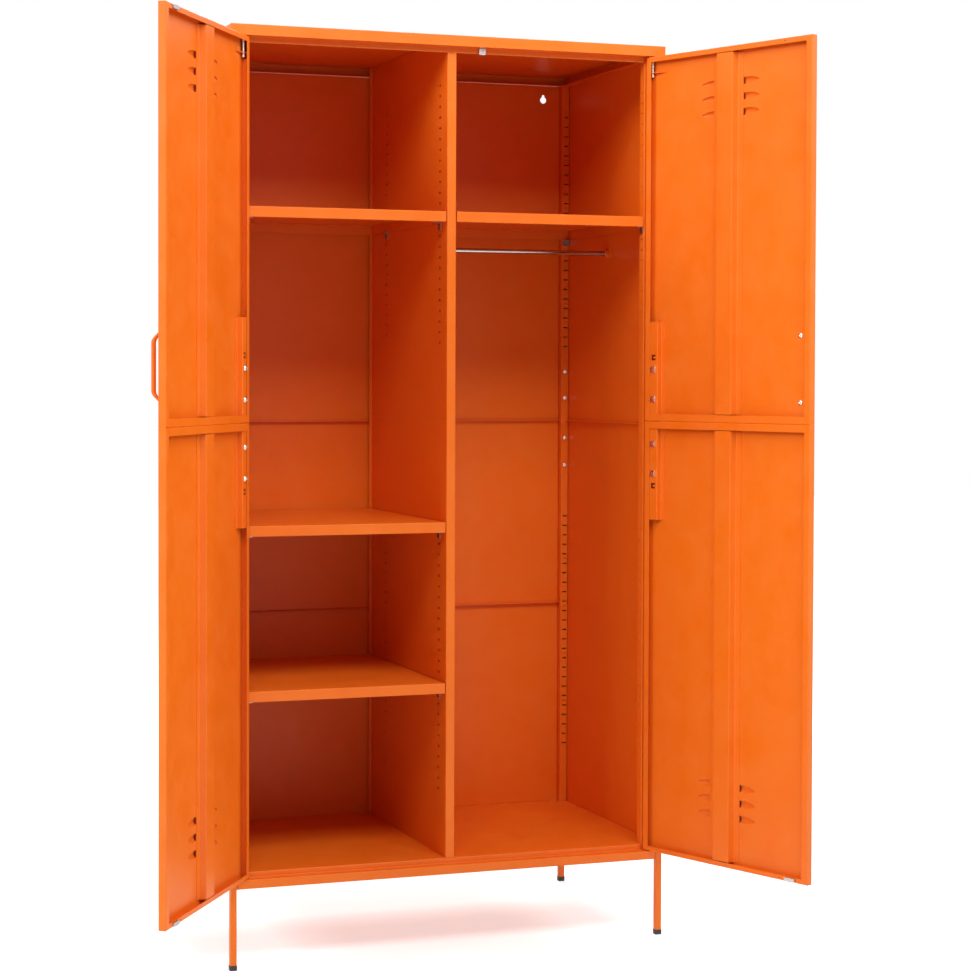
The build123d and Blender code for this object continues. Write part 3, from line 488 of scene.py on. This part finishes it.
def pin_shade_plate(side):
    """Dark plate with a round bottom on the hinge wall: painted shade behind the top pin."""
    mesh = bmesh.new()
    outline = [(PIN_SHADE_U, PIN_SHADE_W - PIN_SHADE_HALF, PIN_SHADE_HIGH),
               (PIN_SHADE_U, PIN_SHADE_W + PIN_SHADE_HALF, PIN_SHADE_HIGH)]
    for k in range(13):
        lean = pi * k / 12
        outline.append((PIN_SHADE_U, PIN_SHADE_W + PIN_SHADE_HALF * cos(lean),
                        PIN_SHADE_LOW - PIN_SHADE_HALF * sin(lean)))
    add_plate(mesh, side, outline, 0.0003, "u")
    # Painted shade: a dark plate where the hinge wall lies in shadow behind the pin.
    new_piece(f"{side}_pin_shade_plate", mesh, "orange_coat", f"{side}_door", 30, "painted_shade_coat")


# ---------------------------------------------------------------- lips in the louvres' mouths
# Each column's middle across the door, and the way its mouths face
COLUMNS = ((0.1515, 1), (0.255, -1))
# Height of the first louvre of the upper and the lower group, and the step to the next one
GROUPS = ((1.614, -0.0283), (0.2566, 0.0283))
LOUVRES = 3
LOUVRE_HALF = 0.0064
LIP_REACH, LIP_DEPTH = 0.0194, 0.0046
SHADE_REACH, SHADE_DEPTH = 0.0188, 0.0027
LIP_THICKNESS = 0.0004


def louvre_lips(side):
    """Folded lips in the louvres' mouths; the free column's have a dark plate before them, painted
    shade for the deep mouth.
    """
    lips, painted_shades = bmesh.new(), bmesh.new()
    for column, mouth in COLUMNS:
        layers = [(lips, column + mouth * LIP_REACH - LIP_THICKNESS / 2, LIP_DEPTH)]
        if mouth < 0:
            # Painted shade: a dark plate just inside the lip, where the deep mouth lies in shadow.
            layers.append((painted_shades, column + mouth * SHADE_REACH - LIP_THICKNESS / 2, SHADE_DEPTH))
        for first, step in GROUPS:
            for row in range(LOUVRES):
                middle = first + step * row
                for mesh, at, deep in layers:
                    outline = [(at, 0.0006, middle - LOUVRE_HALF),
                               (at, 0.0006, middle + LOUVRE_HALF)]
                    for k in range(11):
                        lean = pi * k / 10
                        outline.append((at, -deep * sin(lean), middle + LOUVRE_HALF * cos(lean)))
                    add_plate(mesh, side, outline, LIP_THICKNESS, "u")
    new_piece(f"{side}_louvre_lips", lips, "orange_coat", f"{side}_door", 30)
    new_piece(f"{side}_louvre_painted_shades", painted_shades, "orange_coat", f"{side}_door", 30, "painted_shade_coat")


# ---------------------------------------------------------------- windows of the joint straps
WINDOW_HEIGHTS = (0.864, 1.108)
WINDOW_HALF = 0.0053
# How far across the door the windows' middle lies, and how far in from its front the strap's face
STRAP_U = 0.0215
STRAP_W = 0.0126
SQUARE = ((-1, -1), (1, -1), (1, 1), (-1, 1))
# The tab starts at the free side of the window and rises a little towards its tip
TAB_PROFILE = ((0.0054, -0.0006), (0.0028, -0.0006), (0.0006, 0.0002), (0.0004, 0.0007),
               (0.0026, -0.0001), (0.0054, -0.0001))


def strap_with_tabs(side):
    """The joint strap with its two square windows, each with a lanced tab over a dark plate of
    painted shade.
    """
    node = f"{side}_joint_channel"
    cutters, painted_window_shades, tabs = bmesh.new(), bmesh.new(), bmesh.new()
    for height in WINDOW_HEIGHTS:
        for mesh, half, low, thickness in ((cutters, WINDOW_HALF, -0.0012, 0.003),
                                           (painted_window_shades, WINDOW_HALF + 0.0004, -0.00076, 0.0001)):
            square = [(STRAP_U + half * a, STRAP_W + low, height + half * b) for a, b in SQUARE]
            add_plate(mesh, side, square, thickness, "w")
        outline = [(STRAP_U + u, STRAP_W + w, height - 0.0018) for u, w in TAB_PROFILE]
        add_plate(tabs, side, outline, 0.0036, "z")
    bmesh.ops.recalc_face_normals(cutters, faces=cutters.faces)
    cutter = plain_object("window_cutters", cutters)
    whole = plain_object(node, merged_copy(node))
    cut = whole.modifiers.new("windows", "BOOLEAN")
    cut.object = cutter
    cut.solver = "EXACT"
    graph = bpy.context.evaluated_depsgraph_get()
    strap = bmesh.new()
    strap.from_mesh(whole.evaluated_get(graph).to_mesh())
    for spare in (whole, cutter):
        bpy.data.objects.remove(spare)
    piece = new_piece(f"{node}_windowed", strap, "orange_coat", f"{side}_door", 1)
    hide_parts(node)
    # Painted shade: dark plates just under the windows, for the shadow in the depth below them.
    new_piece(f"{side}_strap_painted_shades", painted_window_shades, "orange_coat", f"{side}_door", 30, "painted_shade_coat")
    new_piece(f"{side}_strap_tabs", tabs, "orange_coat", f"{side}_door", 30)


# ---------------------------------------------------------------- handles
HANDLE_Z = 1.0862
HANDLE_REACH = 0.021
# The grip is shorter than the span of the feet by this share
HANDLE_SPLAY = 0.15


def splayed_handle(side):
    """The bow handle with its legs splayed: its grip is shorter than the span of its feet."""
    node = f"{side}_handle"
    mesh = merged_copy(node)
    outwards = (on_door(side, 0, -1, 0) - on_door(side, 0, 0, 0)).normalized()
    foot = on_door(side, 0, 0, 0).dot(outwards)
    for point in mesh.verts:
        share = min(max((point.co.dot(outwards) - foot) / HANDLE_REACH, 0), 1)
        narrowed = 1 - HANDLE_SPLAY * share * share * (3 - 2 * share)
        point.co.z = HANDLE_Z + (point.co.z - HANDLE_Z) * narrowed
    piece = new_piece(f"{node}_splayed", mesh, "orange_coat", f"{side}_door", 40)
    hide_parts(node)


# ---------------------------------------------------------------- joint above the back panel
BEAD_RADIUS = 0.0006
BEAD_INSET = 0.0015
BEAD_SIDES = 8


def back_seam():
    """Bead of coating along the joint above the upper back panel."""
    low, high = (Vector(corner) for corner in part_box("back_panel_upper"))
    mesh = bmesh.new()
    rows = []
    for x in (low.x, high.x):
        ring = []
        for k in range(BEAD_SIDES):
            lean = 2 * pi * k / BEAD_SIDES
            ring.append(mesh.verts.new((x, low.y + BEAD_INSET + BEAD_RADIUS * cos(lean),
                                        high.z + BEAD_RADIUS * sin(lean))))
        rows.append(ring)
    join_rings(mesh, *rows)
    mesh.faces.new(rows[0])
    mesh.faces.new(rows[1])
    new_piece("back_seam_bead", mesh, "orange_coat", "cabinet", 50)


back_seam()
for side in SIDES:
    pin_shade_plate(side)
    louvre_lips(side)
    strap_with_tabs(side)
    splayed_handle(side)


# ---------------------------------------------------------------- studio
def area_light(name, size, power, place, target):
    """A rectangular lamp at a place, facing a target, both measured from the cabinet's front."""
    light = bpy.data.lights.new(name, "AREA")
    light.shape = "RECTANGLE"
    light.size, light.size_y = size
    light.energy = power
    lamp = bpy.data.objects.new(name, light)
    bpy.context.collection.objects.link(lamp)
    place, target = Vector(place) + front, Vector(target) + front
    facing = (target - place).to_track_quat("-Z", "Y").to_matrix().to_4x4()
    lamp.matrix_world = Matrix.Translation(place) @ facing


area_light("key_light", (2.4, 1.8), 156, (-4.6, -1.5, 3.4), (0.2, 0, 0.9))
area_light("fill_light", (2.4, 1.8), 112, (4.2, -1.9, 3.4), (-0.2, 0, 0.9))
area_light("top_light", (2.6, 1.0), 64, (-0.2, -2.2, 3.1), (0, 0, 1.2))
area_light("back_light", (2.4, 1.8), 150, (0.8, 4.2, 3.4), (0, 0.5, 0.9))


def backdrop_rays(tree):
    """1 for the rays that show the backdrop: seen straight, mirrored or through something."""
    path = tree.nodes.new("ShaderNodeLightPath")
    total = path.outputs["Is Camera Ray"]
    for name in ("Is Glossy Ray", "Is Transmission Ray"):
        either = tree.nodes.new("ShaderNodeMath")
        either.operation = "MAXIMUM"
        tree.links.new(total, either.inputs[0])
        tree.links.new(path.outputs[name], either.inputs[1])
        total = either.outputs[0]
    return total


FLOOR_REACH = 14.0
# The floor's own glow, close to the locker and far from it, and where each begins
GLOW_NEAR, GLOW_FAR = 0.55, 1.0
NEAR, FAR = 1.0, 2.6


def studio_floor():
    """Pale floor, near white in view, whose glow leaves the shadows close to the locker."""
    n = Nodes("studio_floor")
    cloud = n.ranged(n.noise(3.0, 3.0), 0.3, 0.7, 0.0, 1.0)
    colour = n.mix(cloud, linear(238, 238, 238), linear(242, 242, 242))
    n.surface(Base_Color=colour, Roughness=0.9, Specular_IOR_Level=0.1)
    spot = n.add("ShaderNodeVectorMath", {"operation": "LENGTH"})
    n.set(spot.inputs[0], n.place)
    glow = n.ranged(spot.outputs["Value"], NEAR, FAR, GLOW_NEAR, GLOW_FAR)
    seen_glow = n.math("MULTIPLY", glow, backdrop_rays(n.tree))
    emission = n.add("ShaderNodeEmission", Strength=seen_glow)
    both = n.add("ShaderNodeAddShader")
    n.set(both.inputs[0], n.output.inputs["Surface"].links[0].from_socket)
    n.set(both.inputs[1], emission.outputs["Emission"])
    n.set(n.output.inputs["Surface"], both.outputs["Shader"])
    mesh = bpy.data.meshes.new("studio_floor")
    corners = [(FLOOR_REACH * x, FLOOR_REACH * y, 0) for x, y in SQUARE]
    mesh.from_pydata(corners, [], [(0, 1, 2, 3)])
    mesh.materials.append(n.material)
    floor = bpy.data.objects.new("studio_floor", mesh)
    bpy.context.collection.objects.link(floor)


def studio_world():
    """White room in view, and a dim one as a source of light."""
    world = bpy.data.worlds.new("studio")
    bpy.context.scene.world = world
    world.use_nodes = True
    tree = world.node_tree
    tree.nodes.clear()
    output = tree.nodes.new("ShaderNodeOutputWorld")
    lighting = tree.nodes.new("ShaderNodeBackground")
    lighting.inputs["Color"].default_value = (1.0, 0.99, 0.98, 1)
    lighting.inputs["Strength"].default_value = 0.18
    seen = tree.nodes.new("ShaderNodeBackground")
    seen.inputs["Color"].default_value = (1, 1, 1, 1)
    seen.inputs["Strength"].default_value = 1.0
    chosen = tree.nodes.new("ShaderNodeMixShader")
    tree.links.new(backdrop_rays(tree), chosen.inputs[0])
    tree.links.new(lighting.outputs[0], chosen.inputs[1])
    tree.links.new(seen.outputs[0], chosen.inputs[2])
    tree.links.new(chosen.outputs[0], output.inputs["Surface"])


studio_floor()
studio_world()
bpy.context.scene.view_settings.view_transform = "Standard"

# ---------------------------------------------------------------- camera
# Fitted to the corners of the cabinet in the photograph: metres from its front, then radians
EYE = (-1.42104, -3.98439, 1.07714)
TURN, PITCH, ROLL = 0.338, -0.0251, 0.0027


def photo_camera():
    """The camera at the photograph's place and angle."""
    ahead = Vector((sin(TURN) * cos(PITCH), cos(TURN) * cos(PITCH), sin(PITCH)))
    level = Vector((cos(TURN), -sin(TURN), 0))
    upright = level.cross(ahead)
    right = cos(ROLL) * level + sin(ROLL) * upright
    above = cos(ROLL) * upright - sin(ROLL) * level
    data = bpy.data.cameras.new("camera")
    data.lens = 84.8
    data.shift_x = 0.0423
    data.shift_y = -0.0565
    data.clip_end = 60
    camera = bpy.data.objects.new("camera", data)
    bpy.context.collection.objects.link(camera)
    turned = Matrix((right, above, -ahead)).transposed().to_4x4()
    camera.matrix_world = Matrix.Translation(front + Vector(EYE)) @ turned
    bpy.context.scene.camera = camera


photo_camera()
